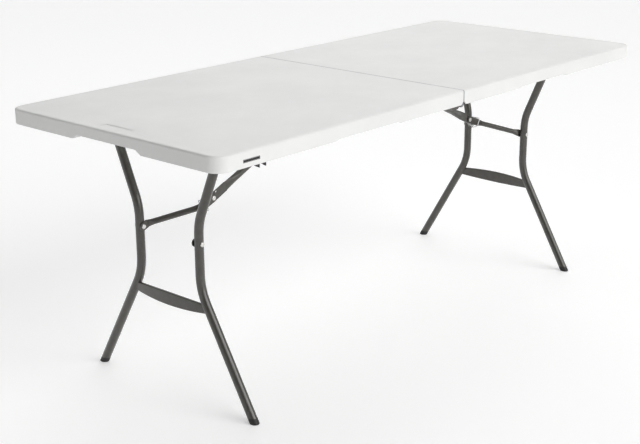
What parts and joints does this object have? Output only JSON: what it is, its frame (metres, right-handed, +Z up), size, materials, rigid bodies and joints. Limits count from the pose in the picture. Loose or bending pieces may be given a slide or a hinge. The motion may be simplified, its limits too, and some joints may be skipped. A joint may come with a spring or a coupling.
{
  "type": "folding picnic table",
  "caption": "Rectangular table whose hollow plastic top folds in half like a case, with a steel leg frame folding flat under each half, held open by a jointed brace and lock ring.",
  "frame": {"origin": "on the floor under the middle of the table, where its bounding box's bottom centre is", "axes": "+X along the table's length, +Y across its width, +Z up; the side label is on the -Y side"},
  "size_m": [1.829, 0.762, 0.737],
  "materials": {
    "white_plastic": "blow-moulded polyethylene, fine pebbled texture, slight sheen",
    "black_plastic": "moulded black",
    "label_plastic": "blank black badge",
    "dark_steel": "dark warm grey powder coat, fine hammered sheen",
    "bright_rivet": "bright steel",
    "zinc_wire": "bright zinc plate",
    "dark_zinc": "dark zinc plate"
  },
  "bodies": {
    "left_half": {"carry_latch": "black_plastic", "hinge_leaf_left_front": "dark_steel", "hinge_leaf_left_rear": "dark_steel", "hinge_pins": "dark_zinc", "link_bracket_left": "dark_steel", "link_pin_left": "bright_rivet", "panel_screws_left": "dark_zinc", "side_label": "label_plastic", "side_rail_left_front": "dark_steel", "side_rail_left_rear": "dark_steel", "table_half_left": "white_plastic"},
    "right_half": {"hinge_leaf_right_front": "dark_steel", "hinge_leaf_right_rear": "dark_steel", "link_bracket_right": "dark_steel", "link_pin_right": "bright_rivet", "panel_screws_right": "dark_zinc", "side_rail_right_front": "dark_steel", "side_rail_right_rear": "dark_steel", "table_half_right": "white_plastic"},
    "left_leg": {"foot_left_front": "black_plastic", "foot_left_rear": "black_plastic", "leg_cross_tube_left": "dark_steel", "leg_rivets_left": "bright_rivet", "leg_tube_left_front": "dark_steel", "leg_tube_left_rear": "dark_steel", "lower_brace_left": "dark_steel"},
    "right_leg": {"foot_right_front": "black_plastic", "foot_right_rear": "black_plastic", "leg_cross_tube_right": "dark_steel", "leg_rivets_right": "bright_rivet", "leg_tube_right_front": "dark_steel", "leg_tube_right_rear": "dark_steel", "lower_brace_right": "dark_steel"},
    "left_link": {"link_left": "dark_steel"},
    "right_link": {"link_right": "dark_steel"},
    "left_brace": {"brace_arm_left_front": "dark_steel", "brace_arm_left_rear": "dark_steel", "knee_rivet_left": "bright_rivet", "lug_rivets_left": "bright_rivet"},
    "right_brace": {"brace_arm_right_front": "dark_steel", "brace_arm_right_rear": "dark_steel", "knee_rivet_right": "bright_rivet", "lug_rivets_right": "bright_rivet"},
    "left_ring": {"lock_ring_left": "zinc_wire"},
    "right_ring": {"lock_ring_right": "zinc_wire"}
  },
  "joints": [
    {"name": "half_fold", "type": "hinge", "parent": "left_half", "child": "right_half", "pos_m": [0, 0, 0.697], "axis": [0, 1, 0], "range_deg": [0, 90]},
    {"name": "left_leg_fold", "type": "hinge", "parent": "left_half", "child": "left_leg", "pos_m": [-0.729, 0, 0.7085], "axis": [0, -1, 0], "range_deg": [0, 90]},
    {"name": "left_link_swing", "type": "hinge", "parent": "left_half", "child": "left_link", "pos_m": [-0.09, 0, 0.7115], "axis": [0, 1, 0], "range_deg": [0, 24.22]},
    {"name": "left_knee", "type": "hinge", "parent": "left_link", "child": "left_brace", "pos_m": [-0.57354, 0, 0.49366], "axis": [0, -1, 0], "range_deg": [0, 182.01]},
    {"name": "left_ring_slide", "type": "slide", "parent": "left_link", "child": "left_ring", "axis": [0.9117, 0, 0.4108], "range_m": [0, 0.3144]},
    {"name": "right_leg_fold", "type": "hinge", "parent": "right_half", "child": "right_leg", "pos_m": [0.729, 0, 0.7085], "axis": [0, 1, 0], "range_deg": [0, 90]},
    {"name": "right_link_swing", "type": "hinge", "parent": "right_half", "child": "right_link", "pos_m": [0.09, 0, 0.7115], "axis": [0, -1, 0], "range_deg": [0, 24.22]},
    {"name": "right_knee", "type": "hinge", "parent": "right_link", "child": "right_brace", "pos_m": [0.57354, 0, 0.49366], "axis": [0, 1, 0], "range_deg": [0, 182.01]},
    {"name": "right_ring_slide", "type": "slide", "parent": "right_link", "child": "right_ring", "axis": [-0.9117, 0, 0.4108], "range_m": [0, 0.3144]}
  ],
  "couplings": [
    {"joint": "left_link_swing", "follows": "left_leg_fold", "ratio": 0.26898},
    {"joint": "left_knee", "follows": "left_leg_fold", "ratio": 2.0223},
    {"joint": "left_ring_slide", "follows": "left_leg_fold", "m_per_rad": 0.2},
    {"joint": "right_link_swing", "follows": "right_leg_fold", "ratio": 0.26898},
    {"joint": "right_knee", "follows": "right_leg_fold", "ratio": 2.0223},
    {"joint": "right_ring_slide", "follows": "right_leg_fold", "m_per_rad": 0.2}
  ]
}
